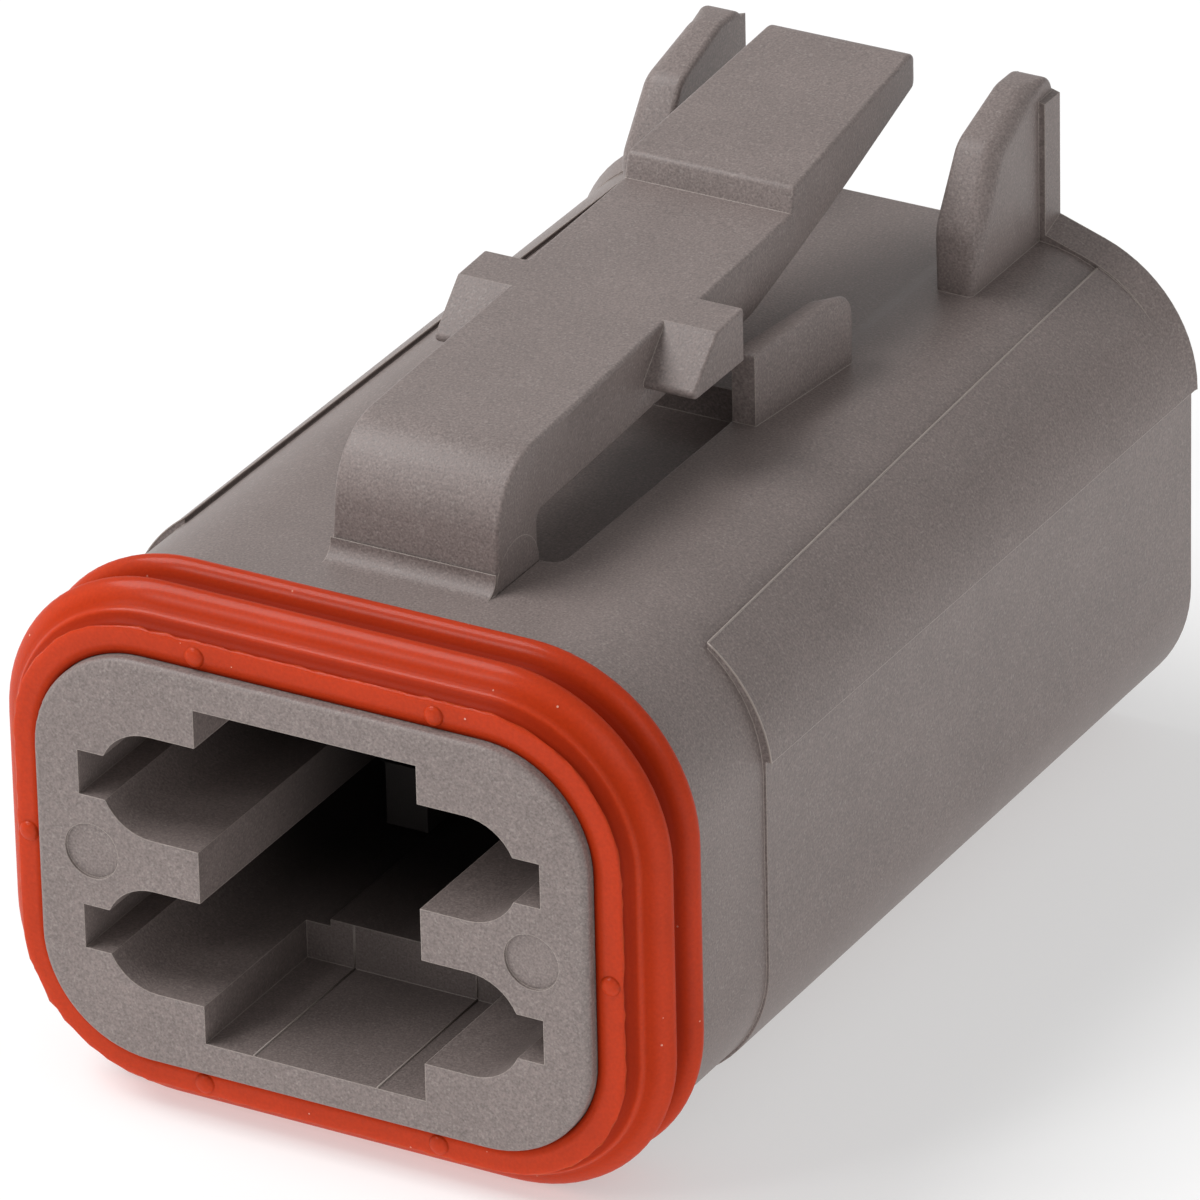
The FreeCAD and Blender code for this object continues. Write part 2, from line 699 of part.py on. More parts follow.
def build_grommet():
    """The wire seal: a ribbed block with a lipped bore for each wire."""
    body = new_body("wire_grommet")
    front = pocket_front + size["rear_fit"]
    rib_width = pocket_half_width - size["rear_fit"]
    rib_height = pocket_half_height - size["rear_fit"]
    rib_corner = pocket_corner - size["rear_fit"]
    low = size["grommet_rib_height"]

    sketch = across_sketch(body, "block_section", front)
    rounded_rectangle(sketch, rib_width - low, rib_height - low, rib_corner - low)
    pad(body, "block", sketch, size["grommet_length"], back=True)

    spacing = (size["grommet_length"] - size["grommet_rib_length"]) * 0.5
    sketch = across_sketch(body, "rib_section", front)
    rounded_rectangle(sketch, rib_width, rib_height, rib_corner)
    rib = pad(body, "rib", sketch, size["grommet_rib_length"], back=True)
    ribs = body.newObject("PartDesign::LinearPattern", "ribs")
    ribs.Originals = [rib]
    axis = next(item for item in body.Origin.OriginFeatures if item.Role == "Y_Axis")
    ribs.Direction = (axis, [""])
    ribs.setExpression("Length", (spacing * 2).text)
    ribs.Occurrences = 3
    body.Tip = ribs

    sketch = across_sketch(body, "wire_bore_section", front)
    for across, up in contact_places:
        circle(sketch, across, up, size["wire_bore_radius"])
    pocket(body, "wire_bores", sketch, size["grommet_length"])

    for number in range(3):
        lips = across_sketch(body, f"lip_section_{number + 1}",
                             front + spacing * number + size["grommet_rib_length"] * 0.5
                             - size["wire_lip_length"] * 0.5)
        for across, up in contact_places:
            circle(lips, across, up, size["wire_bore_radius"] + size["wire_lip_root"])
            circle(lips, across, up, size["wire_lip_radius"])
        pad(body, f"lips_{number + 1}", lips, size["wire_lip_length"], back=True)
    return body


def build_plate():
    """The rear plate that holds the wire seal in, with a flared hole for each wire."""
    body = new_body("grommet_retainer")
    front = pocket_front + size["grommet_length"] + size["rear_fit"] * 2
    sketch = across_sketch(body, "plate_section", front)
    rounded_rectangle(sketch, pocket_half_width - size["rear_fit"],
                      pocket_half_height - size["rear_fit"], pocket_corner - size["rear_fit"])
    pad(body, "plate", sketch, size["plate_thickness"], back=True)
    sketch = across_sketch(body, "plate_hole_section", front)
    for across, up in contact_places:
        circle(sketch, across, up, size["plate_hole_radius"])
    pocket(body, "plate_holes", sketch, size["plate_thickness"])
    plate_rear = front + size["plate_thickness"]
    doc.recompute()
    holes = body.Tip
    names = [f"Edge{number}" for number, edge in enumerate(holes.Shape.Edges, start=1)
             if isinstance(edge.Curve, Part.Circle)
             and abs(edge.Curve.Radius - size["plate_hole_radius"].value) < 0.001
             and abs(edge.CenterOfMass.y - plate_rear.value) < 0.001]
    flare = body.newObject("PartDesign::Chamfer", "hole_flares")
    flare.Base = (holes, names)
    flare.setExpression("Size", size["plate_hole_flare"].text)
    return body


def check_document():
    """Stop where a feature failed or a sub-part isn't a valid solid."""
    doc.recompute()
    for item in doc.Objects:
        if "Invalid" in item.State or "Error" in item.State:
            raise RuntimeError(f"{item.Label} failed: {item.State}")
    for body in bodies:
        if body.Shape.isNull() or not body.Shape.isValid():
            raise RuntimeError(f"{body.Label} has no valid shape")
        print(body.Label, "solids", len(body.Shape.Solids), "faces", len(body.Shape.Faces),
              "volume", round(body.Shape.Volume, 2))


bodies = [build_housing(), build_latch(), build_seal(), build_grommet(), build_plate()]
check_document()
os.makedirs("parts", exist_ok=True)
for body in bodies:
    body.Shape.exportStep(f"parts/{body.Label}.step")
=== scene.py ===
import math

import bmesh
import bpy
from bpy.props import FloatProperty, FloatVectorProperty, IntProperty, PointerProperty
from mathutils import Matrix, Vector, noise


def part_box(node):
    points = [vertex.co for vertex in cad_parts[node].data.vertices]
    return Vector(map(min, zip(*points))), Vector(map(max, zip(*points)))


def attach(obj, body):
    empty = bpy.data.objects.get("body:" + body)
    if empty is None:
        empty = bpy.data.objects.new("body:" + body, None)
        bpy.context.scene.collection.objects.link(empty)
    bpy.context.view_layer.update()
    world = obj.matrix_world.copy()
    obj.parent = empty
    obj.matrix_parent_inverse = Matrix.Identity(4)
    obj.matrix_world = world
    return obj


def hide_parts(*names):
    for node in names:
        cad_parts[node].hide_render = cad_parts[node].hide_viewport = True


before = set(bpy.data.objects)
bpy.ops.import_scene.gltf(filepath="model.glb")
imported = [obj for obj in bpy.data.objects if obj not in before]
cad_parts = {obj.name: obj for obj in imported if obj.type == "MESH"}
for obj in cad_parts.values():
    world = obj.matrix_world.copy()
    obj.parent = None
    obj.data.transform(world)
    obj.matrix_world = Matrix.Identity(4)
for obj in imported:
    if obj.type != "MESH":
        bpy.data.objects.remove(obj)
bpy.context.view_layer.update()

bl_info = {
    "name": "Sealed connector finish",
    "version": (1, 0, 0),
    "blender": (4, 5, 0),
    "location": "View3D > Sidebar > Connector",
    "description": "Dresses the packed connector plug and sets its stage",
    "category": "Object",
}

MM = 0.001
NOSE_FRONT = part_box("housing")[0].y
SEAL_LOW, SEAL_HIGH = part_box("interface_seal")
AXIS_HEIGHT = (SEAL_LOW.z + SEAL_HIGH.z) / 2

# The finishes: where each mask starts and where it is full, and how far each effect goes
GRAIN_LAYERS = ((1.0, 1.0), (0.7, 1.0), (0.03, 3.0))  # scale against the grain's, and detail
GRAIN_MIDDLE = 0.5
SPECK_LEVELS = (0.58, 0.72)
CLOUD_LEVELS = (0.3, 0.7)
EDGE_LEVELS = (0.995, 0.9)
RELIEF_DEPTH = 0.02 * MM
ROUGH_LEVELS = (0.3, 0.7)
ROUGH_SPREAD = 0.06
SPECK_STRENGTH = 0.35
# Paler edge colour on the edges and the flash: partly wear, partly painted highlight
EDGE_WEAR_AND_HIGHLIGHT_STRENGTH = 0.85
FLASH_STRENGTH = 0.65
# Darkest painted shade deep in the front cavity, against the plastic's colour
CAVITY_SHADE_TONE = 0.10
SILICONE_GRAIN = 1.5
DUST_SPACING = 0.9 * MM
DUST_SPOT = 0.045
COAT_SHADE = (0.0, 0.3)
COAT_WEIGHT = (0.24, 0.02)
COAT_ROUGHNESS = 0.2
SCATTER_WEIGHT = 0.1
SCATTER_RADIUS = (0.0010, 0.0003, 0.0001)

# Welding and shading of the solids' meshes, and the sides of a bead of flash
WELD_DISTANCE = 0.0005 * MM
SHARP_ANGLE = math.radians(32.0)
BEAD_SIDES = 6

# The flash in millimetres off the nose's front and axis: the parting line as half width and depth
# at its two ends, the height where its bend round the cheek's front stops, and the core's split
# lines along the cavity's floor and up its ledge
PARTING_FRONT = (10.56, 9.8)
PARTING_REAR = (9.58, 41.3)
PARTING_STEPS = 32
BEND_END = 4.1
BEND_STEPS = 16
SPLIT_ACROSS = 2.5
SPLIT_DEPTHS = (0.02, 3.5, 7.08)
SPLIT_HEIGHT = -6.59
LEDGE_DEPTH = 7.09
LEDGE_HEIGHTS = (-6.5, -4.9)

# The ears: which vertices are worked, where the foot keeps its shape, and how the shoulder swells
EAR_SLACK = 0.01 * MM
EAR_REACH = 1.6 * MM
EAR_MARGIN = 0.3 * MM
EAR_SIDE = 0.75 * MM
FOOT_KEPT = 0.05 * MM
FOOT_BLEND = 0.8 * MM
MIDDLE_AHEAD = 1.0 * MM
MIDDLE_RISE = 2.6 * MM
RIM_KEPT = 0.9 * MM
RIM_BLEND = 2.5 * MM
SWELL_CURVE = 1.5
SWELL_SLANT = 0.7
ROUND_SLACK = 1.02

# The fences: how far past their ends vertices still count, and where the rise starts
FENCE_END = 1.01
FENCE_SLACK = 0.02 * MM
FENCE_BLEND = 1.0 * MM

# The latch: half widths of the pad that is widened, and of its middle, which spreads in proportion
PAD_REACH = 4.0 * MM
PAD_MIDDLE = 2.0 * MM

# The seal's section in millimetres: depth behind the face, height over the nose, and how much
# painted shade it takes, in its grooves and where its face meets the nose; then the points of its
# ragged face edge
SEAL_SECTION = (
    (0.00, 0.00, 0.8), (0.00, 0.16, 0.4), (0.00, 0.40, 0.0), (0.00, 0.75, 0.0), (0.00, 0.98, 0.0),
    (0.03, 1.05, 0.0), (0.08, 1.07, 0.1), (0.13, 1.00, 0.7), (0.19, 0.94, 0.9), (0.30, 0.95, 0.8),
    (0.42, 1.03, 0.6), (0.52, 1.13, 0.6), (0.60, 1.25, 0.5), (0.65, 1.33, 0.1), (0.70, 1.38, 0.0),
    (0.77, 1.41, 0.1), (0.88, 1.46, 0.3), (1.02, 1.61, 0.25), (1.15, 1.79, 0.1), (1.26, 1.94, 0.0),
    (1.38, 2.06, 0.05), (1.51, 2.14, 0.1), (1.64, 2.18, 0.1), (1.77, 2.14, 0.3), (1.88, 2.00, 0.6),
    (1.97, 1.78, 0.9), (2.05, 1.50, 1.0), (2.20, 1.35, 1.0), (2.60, 1.32, 1.0), (2.92, 1.38, 0.9),
    (3.05, 1.58, 0.6), (3.15, 1.82, 0.2), (3.28, 2.04, 0.0), (3.42, 2.14, 0.05), (3.56, 2.18, 0.1),
    (3.71, 2.14, 0.1), (3.86, 2.02, 0.1), (3.98, 1.78, 0.2), (4.05, 1.52, 0.5), (4.24, 1.38, 0.8),
    (4.24, 0.00, 1.0))
RAGGED_POINTS = (5, 6, 7)

# The seal's ring, the raggedness of its edge, and its pips
RIB_HEIGHT = 2.18 * MM
RING_CORNER = 4.33 * MM
RING_STEP = 0.35 * MM
CORNER_STEPS = 20
RAG_SIZE = 0.35 * MM
RAG_STEP = 0.4
RAG_SHIFT = Vector((7.0, 3.0, 1.0))
RAG_DEPTH = 0.3
PIP_OUT = 0.57 * MM
PIP_SEGMENTS = 20
PIP_RINGS = 12
# Each pip: the side of the nose that it stands on, and its shift across and up in millimetres
PIPS = (((1, 0), (0.0, -0.45)), ((-1, 0), (0.0, -0.1)), ((0, 1), (4.95, -0.1)),
        ((0, 1), (-4.6, -0.1)), ((0, -1), (4.65, 0.0)), ((0, -1), (-4.85, 0.0)))

# The stage: the floor, the strengths of floor and sky as light and as they are seen, the camera's
# sensor in millimetres and its range, and the softboxes with direction, width and watts
FLOOR_HALF = 1.5
FLOOR_COLOUR = (0.6, 0.6, 0.6, 1)
FLOOR_LIT, FLOOR_SEEN = 0.85, 0.42
SKY_LIT, SKY_SEEN = 0.5, 0.97
SENSOR_WIDTH = 36.0
CAMERA_RANGE = (0.01, 10.0)
LIGHT_DISTANCE = 0.6
SOFTBOXES = (("key", (-0.58, -0.22, 0.78), 0.34, 2.8),
             ("front_glint", (-0.44, -0.73, 0.52), 0.12, 0.45),
             ("right_fill", (0.52, -0.70, 0.49), 0.30, 0.24))

FLOAT, VECTOR = "NodeSocketFloat", "NodeSocketVector"
MIX_FACTOR, MIX_FIRST, MIX_SECOND, MIX_RESULT = 0, 6, 7, 2  # places of a mix's colour sockets


class ConnectorSettings(bpy.types.PropertyGroup):
    """Sizes and colours of the connector's finish."""

    plastic_colour: FloatVectorProperty(
        name="Plastic colour", description="Base colour of the moulded housing",
        subtype="COLOR", size=3, min=0.0, max=1.0, default=(0.193, 0.157, 0.147))
    # Paler colour of the plastic's edges and flash: partly wear, partly painted highlight
    edge_wear_and_highlight_colour: FloatVectorProperty(
        name="Edge colour", description="Base colour of the plastic's rubbed edges",
        subtype="COLOR", size=3, min=0.0, max=1.0, default=(0.40, 0.345, 0.31))
    speckle_colour: FloatVectorProperty(
        name="Speckle colour", description="Colour of the pale fibre specks in the plastic",
        subtype="COLOR", size=3, min=0.0, max=1.0, default=(0.33, 0.29, 0.27))
    grain_size: FloatProperty(
        name="Grain size", description="Width of the plastic's spark-eroded grain",
        unit="LENGTH", default=0.085 * MM, min=0.01 * MM)
    edge_radius: FloatProperty(
        name="Edge radius", description="Rounding of the moulded edges",
        unit="LENGTH", default=0.06 * MM, min=0.01 * MM)
    edge_samples: IntProperty(
        name="Edge samples", description="Rays that look for each rounded edge",
        default=6, min=2, max=16)
    silicone_colour: FloatVectorProperty(
        name="Silicone colour", description="Base colour of the seals",
        subtype="COLOR", size=3, min=0.0, max=1.0, default=(0.475, 0.037, 0.006))
    # Painted shade: the seal's colour deep in its grooves and where its face meets the nose
    groove_shade_colour: FloatVectorProperty(
        name="Groove colour", description="Base colour deep in the seal's grooves",
        subtype="COLOR", size=3, min=0.0, max=1.0, default=(0.22, 0.010, 0.001))
    lint_colour: FloatVectorProperty(
        name="Lint colour", description="Colour of the dust and lint on the seals",
        subtype="COLOR", size=3, min=0.0, max=1.0, default=(0.62, 0.30, 0.22))


class FlashSettings(bpy.types.PropertyGroup):
    """Sizes of the thin flash that the mould leaves."""

    radius: FloatProperty(
        name="Radius", description="Radius of the bead of flash",
        unit="LENGTH", default=0.035 * MM)
    cheek_half_width: FloatProperty(
        name="Cheek half width", description="From the axis to the cheek's side",
        unit="LENGTH", default=13.06 * MM)
    cheek_top: FloatProperty(
        name="Cheek top", description="From the axis to the top of the cheek's arc",
        unit="LENGTH", default=9.39 * MM)
    cheek_corner: FloatProperty(
        name="Cheek corner", description="Radius of the cheek's arc",
        unit="LENGTH", default=6.0 * MM)


class EarSettings(bpy.types.PropertyGroup):
    """How the ears' outer edges are rounded, their shoulders swell and their sides lean."""

    outer: FloatProperty(
        name="Outer", description="From the axis to the ear's outer side",
        unit="LENGTH", default=7.15 * MM)
    front: FloatProperty(
        name="Front", description="Depth of the ear's front",
        unit="LENGTH", default=36.0 * MM)
    rear: FloatProperty(
        name="Rear", description="Depth where the ear's rim begins",
        unit="LENGTH", default=41.3 * MM)
    old_round: FloatProperty(
        name="Old round", description="Rounding of the ear's edge in the solid",
        unit="LENGTH", default=0.22 * MM)
    new_round: FloatProperty(
        name="New round", description="Rounding of the ear's outer edge",
        unit="LENGTH", default=0.7 * MM)
    spread: FloatProperty(
        name="Spread", description="Extra thickness at the ear's front",
        unit="LENGTH", default=0.42 * MM)
    rise: FloatProperty(
        name="Rise", description="Height of the ear over the shell",
        unit="LENGTH", default=6.3 * MM)
    swell: FloatProperty(
        name="Swell", description="How far the ear's shoulder swells out",
        unit="LENGTH", default=0.36 * MM)


class FenceSettings(bpy.types.PropertyGroup):
    """How the fences beside the arm run out to the rear."""

    inner: FloatProperty(
        name="Inner", description="From the axis to just inside the fence",
        unit="LENGTH", default=5.0 * MM)
    outer: FloatProperty(
        name="Outer", description="From the axis to just outside the fence",
        unit="LENGTH", default=6.9 * MM)
    front: FloatProperty(
        name="Front", description="Depth of the fence's front",
        unit="LENGTH", default=23.3 * MM)
    length: FloatProperty(
        name="Length", description="Length of the fence in the solid",
        unit="LENGTH", default=5.7 * MM)
    reach: FloatProperty(
        name="Reach", description="Extra length at the fence's rear",
        unit="LENGTH", default=0.5 * MM)
    rise: FloatProperty(
        name="Rise", description="Extra height at the fence's rear",
        unit="LENGTH", default=0.15 * MM)


class LatchSettings(bpy.types.PropertyGroup):
    """How the arm widens behind its wings, and how the finger pad runs out to its rear."""

    arm_start: FloatProperty(
        name="Arm start", description="Depth of the wings' rear faces",
        unit="LENGTH", default=22.28 * MM)
    arm_spread: FloatProperty(
        name="Arm spread", description="Extra half width behind the wings",
        unit="LENGTH", default=0.42 * MM)
    pad_start: FloatProperty(
        name="Pad start", description="Depth of the pad's front",
        unit="LENGTH", default=29.6 * MM)
    pad_end: FloatProperty(
        name="Pad end", description="Depth of the pad's rear edge",
        unit="LENGTH", default=39.4 * MM)
    end_spread: FloatProperty(
        name="End spread", description="Extra half width at the pad's rear",
        unit="LENGTH", default=0.2 * MM)
    end_reach: FloatProperty(
        name="End reach", description="Extra length at the pad's rear",
        unit="LENGTH", default=0.75 * MM)
    end_drop: FloatProperty(
        name="End drop", description="Fall of the pad's rear",
        unit="LENGTH", default=0.15 * MM)


class SealSettings(bpy.types.PropertyGroup):
    """Sizes of the seal round the nose."""

    flash: FloatProperty(
        name="Flash", description="Raggedness of the face's moulded edge",
        unit="LENGTH", default=0.10 * MM)
    pip_radius: FloatProperty(
        name="Pip radius", description="Radius of the moulded pips on the face",
        unit="LENGTH", default=0.38 * MM)
    pip_height: FloatProperty(
        name="Pip height", description="Height of the pips over the face",
        unit="LENGTH", default=0.18 * MM)


class StageSettings(bpy.types.PropertyGroup):
    """Place and lens of the camera."""

    eye: FloatVectorProperty(
        name="Eye", description="Place of the camera",
        subtype="TRANSLATION", size=3, precision=6, default=(0.198726, -0.348356, 0.219711))
    azimuth: FloatProperty(
        name="Azimuth", description="Turn of the view round the vertical, in degrees",
        default=29.736)
    elevation: FloatProperty(
        name="Elevation", description="Tilt of the view below the horizon, in degrees",
        default=27.343)
    roll: FloatProperty(
        name="Roll", description="Turn of the picture about the view, in degrees",
        default=-1.308)
    lens: FloatProperty(
        name="Lens", description="Focal length over a 36 mm sensor, in millimetres",
        default=376.6, min=1.0)


def clamp(value):
    """A value held between 0 and 1."""
    return min(max(value, 0.0), 1.0)


def connect(tree, socket, value):
    """Link a socket to another one, or give it a plain value."""
    if isinstance(value, bpy.types.NodeSocket):
        tree.links.new(value, socket)
    else:
        socket.default_value = value


def maths(tree, operation, *values):
    """One step of arithmetic on numbers and sockets."""
    node = tree.nodes.new("ShaderNodeMath")
    node.operation = operation
    for socket, value in zip(node.inputs, values):
        connect(tree, socket, value)
    return node.outputs[0]


def remap(tree, value, low, high, start=0.0, end=1.0):
    """A smooth ramp of a value between two levels."""
    node = tree.nodes.new("ShaderNodeMapRange")
    node.interpolation_type = "SMOOTHSTEP"
    for key, setting in (("Value", value), ("From Min", low), ("From Max", high),
                         ("To Min", start), ("To Max", end)):
        connect(tree, node.inputs[key], setting)
    return node.outputs["Result"]


def mix_colour(tree, factor, first, second, blend="MIX"):
    """One colour over another."""
    node = tree.nodes.new("ShaderNodeMix")
    node.data_type = "RGBA"
    node.blend_type = blend
    for place, value in ((MIX_FACTOR, factor), (MIX_FIRST, first), (MIX_SECOND, second)):
        connect(tree, node.inputs[place], (*value, 1.0) if isinstance(value, tuple) else value)
    return node.outputs[MIX_RESULT]


def toned(tree, base, tone):
    """A colour made lighter and darker by a tone."""
    spread = tree.nodes.new("ShaderNodeCombineColor")
    for channel in spread.inputs:
        tree.links.new(tone, channel)
    return mix_colour(tree, 1.0, base, spread.outputs[0], "MULTIPLY")


def node_group(name, inputs, outputs):
    """An empty shader node group, with what it is given and what it puts out."""
    group = bpy.data.node_groups.new(name, "ShaderNodeTree")
    for label, default in inputs.items():
        socket = group.interface.new_socket(name=label, in_out="INPUT", socket_type=FLOAT)
        socket.default_value = default
    for label, kind in outputs.items():
        group.interface.new_socket(name=label, in_out="OUTPUT", socket_type=kind)
    given = group.nodes.new("NodeGroupInput")
    results = group.nodes.new("NodeGroupOutput")
    return group, given.outputs, results.inputs


def group_node(tree, name, build, **values):
    """A shared effect placed in a material with its own values."""
    node = tree.nodes.new("ShaderNodeGroup")
    node.node_tree = bpy.data.node_groups.get(name) or build(name)
    for key, value in values.items():
        node.inputs[key].default_value = value
    return node


def grain_group(name):
    """Fine grain: a height for bump, a tone round 1, a mask of pale specks and a slow cloud."""
    group, given, results = node_group(
        name, {"Size": 0.1 * MM, "Contrast": 0.2},
        {"Height": FLOAT, "Tone": FLOAT, "Speck": FLOAT, "Cloud": FLOAT})
    coordinates = group.nodes.new("ShaderNodeTexCoord")
    scale = maths(group, "DIVIDE", 1.0, given["Size"])
    noises = []
    for factor, detail in GRAIN_LAYERS:
        layer = group.nodes.new("ShaderNodeTexNoise")
        layer.inputs["Detail"].default_value = detail
        group.links.new(coordinates.outputs["Object"], layer.inputs["Vector"])
        group.links.new(maths(group, "MULTIPLY", scale, factor), layer.inputs["Scale"])
        noises.append(layer.outputs["Fac"])
    grain, speck, cloud = noises
    centred = maths(group, "SUBTRACT", grain, GRAIN_MIDDLE)
    tone = maths(group, "MULTIPLY_ADD", centred, given["Contrast"], 1.0)
    group.links.new(grain, results["Height"])
    group.links.new(tone, results["Tone"])
    group.links.new(remap(group, speck, *SPECK_LEVELS), results["Speck"])
    group.links.new(remap(group, cloud, *CLOUD_LEVELS), results["Cloud"])
    return group


def edge_group(name):
    """Rounded edges and a grain in relief: a mask along the edges, and the surface's normal."""
    group, given, results = node_group(
        name, {"Radius": 0.06 * MM, "Height": 0.5, "Relief": 0.5},
        {"Mask": FLOAT, "Normal": VECTOR})
    rounded = group.nodes.new("ShaderNodeBevel")
    rounded.samples = bpy.context.scene.connector.edge_samples
    group.links.new(given["Radius"], rounded.inputs["Radius"])
    geometry = group.nodes.new("ShaderNodeNewGeometry")
    alike = group.nodes.new("ShaderNodeVectorMath")
    alike.operation = "DOT_PRODUCT"
    group.links.new(rounded.outputs["Normal"], alike.inputs[0])
    group.links.new(geometry.outputs["Normal"], alike.inputs[1])
    group.links.new(remap(group, alike.outputs["Value"], *EDGE_LEVELS), results["Mask"])
    bump = group.nodes.new("ShaderNodeBump")
    bump.inputs["Distance"].default_value = RELIEF_DEPTH
    group.links.new(given["Relief"], bump.inputs["Strength"])
    group.links.new(given["Height"], bump.inputs["Height"])
    group.links.new(rounded.outputs["Normal"], bump.inputs["Normal"])
    group.links.new(bump.outputs["Normal"], results["Normal"])
    return group


def dust_group(name):
    """Sparse dust: a mask of a few tiny spots."""
    group, given, results = node_group(
        name, {"Spacing": 1.0 * MM, "Spot": 0.06}, {"Mask": FLOAT})
    coordinates = group.nodes.new("ShaderNodeTexCoord")
    cells = group.nodes.new("ShaderNodeTexVoronoi")
    group.links.new(coordinates.outputs["Object"], cells.inputs["Vector"])
    group.links.new(maths(group, "DIVIDE", 1.0, given["Spacing"]), cells.inputs["Scale"])
    spot = maths(group, "LESS_THAN", cells.outputs["Distance"], given["Spot"])
    group.links.new(spot, results["Mask"])
    return group


def shade_group(name):
    """Painted shade in the deep part of the front cavity: a mask that grows with depth inside the
    walls.
    """
    group, given, results = node_group(
        name, {"Start": 3 * MM, "Full": 13.2 * MM, "End": 18.4 * MM,
               "Half Width": 9.6 * MM, "Half Height": 6.9 * MM}, {"Mask": FLOAT})
    coordinates = group.nodes.new("ShaderNodeTexCoord")
    parts = group.nodes.new("ShaderNodeSeparateXYZ")
    group.links.new(coordinates.outputs["Object"], parts.inputs[0])
    depth = maths(group, "SUBTRACT", parts.outputs["Y"], NOSE_FRONT)
    rise = maths(group, "DIVIDE", maths(group, "SUBTRACT", depth, given["Start"]),
                 maths(group, "SUBTRACT", given["Full"], given["Start"]))
    across = maths(group, "ABSOLUTE", parts.outputs["X"])
    height = maths(group, "ABSOLUTE", maths(group, "SUBTRACT", parts.outputs["Z"], AXIS_HEIGHT))
    inside = maths(group, "MULTIPLY", maths(group, "LESS_THAN", across, given["Half Width"]),
                   maths(group, "LESS_THAN", height, given["Half Height"]))
    inside = maths(group, "MULTIPLY", inside, maths(group, "LESS_THAN", depth, given["End"]))
    mask = maths(group, "MULTIPLY", inside, remap(group, rise, 0.0, 1.0))
    group.links.new(mask, results["Mask"])
    return group


def finish_of(name, base, *, size, contrast, radius, relief, dark, light, rough, specular):
    """A moulded finish: its grain, its edges and its shader, for a material to add to."""
    material = bpy.data.materials.new(name)
    material.use_nodes = True
    tree = material.node_tree
    shader = tree.nodes["Principled BSDF"]
    grain = group_node(tree, "moulded_grain", grain_group, Size=size, Contrast=contrast)
    edges = group_node(tree, "soft_edges", edge_group, Radius=radius, Relief=relief)
    tree.links.new(grain.outputs["Height"], edges.inputs["Height"])
    tree.links.new(edges.outputs["Normal"], shader.inputs["Normal"])
    darker = tuple(channel * dark for channel in base)
    lighter = tuple(channel * light for channel in base)
    clouded = mix_colour(tree, grain.outputs["Cloud"], darker, lighter)
    colour = toned(tree, clouded, grain.outputs["Tone"])
    roughness = remap(tree, grain.outputs["Height"], *ROUGH_LEVELS,
                      rough - ROUGH_SPREAD, rough + ROUGH_SPREAD)
    tree.links.new(roughness, shader.inputs["Roughness"])
    shader.inputs["Specular IOR Level"].default_value = specular
    return material, tree, shader, grain, edges, colour


def plastic_material(name, settings):
    """Matte moulded plastic with fine grain and pale specks, its edges and flash paler partly for
    wear and partly as painted highlights, and painted shade deep in the front cavity.
    """
    material, tree, shader, grain, edges, colour = finish_of(
        name, settings.plastic_colour, size=settings.grain_size, contrast=1.1,
        radius=settings.edge_radius, relief=0.6, dark=0.96, light=1.04, rough=0.47, specular=0.36)
    speck = maths(tree, "MULTIPLY", grain.outputs["Speck"], SPECK_STRENGTH)
    specked = mix_colour(tree, speck, colour, tuple(settings.speckle_colour))
    # The edges and the flash turn paler: partly wear, partly painted highlight
    if name == "flash_plastic":
        rubbed_and_highlit = FLASH_STRENGTH
    else:
        rubbed_and_highlit = maths(tree, "MULTIPLY", edges.outputs["Mask"], EDGE_WEAR_AND_HIGHLIGHT_STRENGTH)
    worn_and_highlit = mix_colour(tree, rubbed_and_highlit, specked, tuple(settings.edge_wear_and_highlight_colour))
    # Painted shade: the deep front cavity darkens towards a tenth of the plastic's colour
    shade = group_node(tree, "cavity_shade", shade_group)
    deep = tuple(channel * CAVITY_SHADE_TONE for channel in settings.plastic_colour)
    shaded = mix_colour(tree, shade.outputs["Mask"], worn_and_highlit, deep)
    tree.links.new(shaded, shader.inputs["Base Color"])
    return material


def silicone_material(name, settings):
    """Satin silicone with faint dust; painted shade darkens it, and its coat fades, where the
    section lies in shade.
    """
    material, tree, shader, _, _, colour = finish_of(
        name, settings.silicone_colour, size=settings.grain_size * SILICONE_GRAIN, contrast=0.3,
        radius=settings.edge_radius, relief=0.3, dark=0.92, light=1.0, rough=0.5, specular=0.04)
    dust = group_node(tree, "dust_spots", dust_group, Spacing=DUST_SPACING, Spot=DUST_SPOT)
    dusted = mix_colour(tree, dust.outputs["Mask"], colour, tuple(settings.lint_colour))
    # Painted shade from the section's shade column, in the grooves and beside the nose
    shade = tree.nodes.new("ShaderNodeAttribute")
    shade.attribute_name = "shaded"
    shaded = mix_colour(tree, shade.outputs["Fac"], dusted, tuple(settings.groove_shade_colour))
    coat = remap(tree, shade.outputs["Fac"], *COAT_SHADE, *COAT_WEIGHT)
    tree.links.new(shaded, shader.inputs["Base Color"])
    tree.links.new(coat, shader.inputs["Coat Weight"])
    shader.inputs["Coat Roughness"].default_value = COAT_ROUGHNESS
    shader.inputs["Subsurface Weight"].default_value = SCATTER_WEIGHT
    shader.inputs["Subsurface Radius"].default_value = SCATTER_RADIUS
    shader.inputs["Subsurface Scale"].default_value = 1.0
    return material


def material_of(name):
    """One of the finishes, made the first time it is asked for."""
    build = silicone_material if name == "satin_silicone" else plastic_material
    return bpy.data.materials.get(name) or build(name, bpy.context.scene.connector)


def new_piece(name, mesh, body, slot, *nodes):
    """A new object that rides on a body and stands in for CAD nodes; its slot is not used."""
    piece = bpy.data.objects.new(name, mesh)
    bpy.context.scene.collection.objects.link(piece)
    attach(piece, body)
    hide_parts(*nodes)


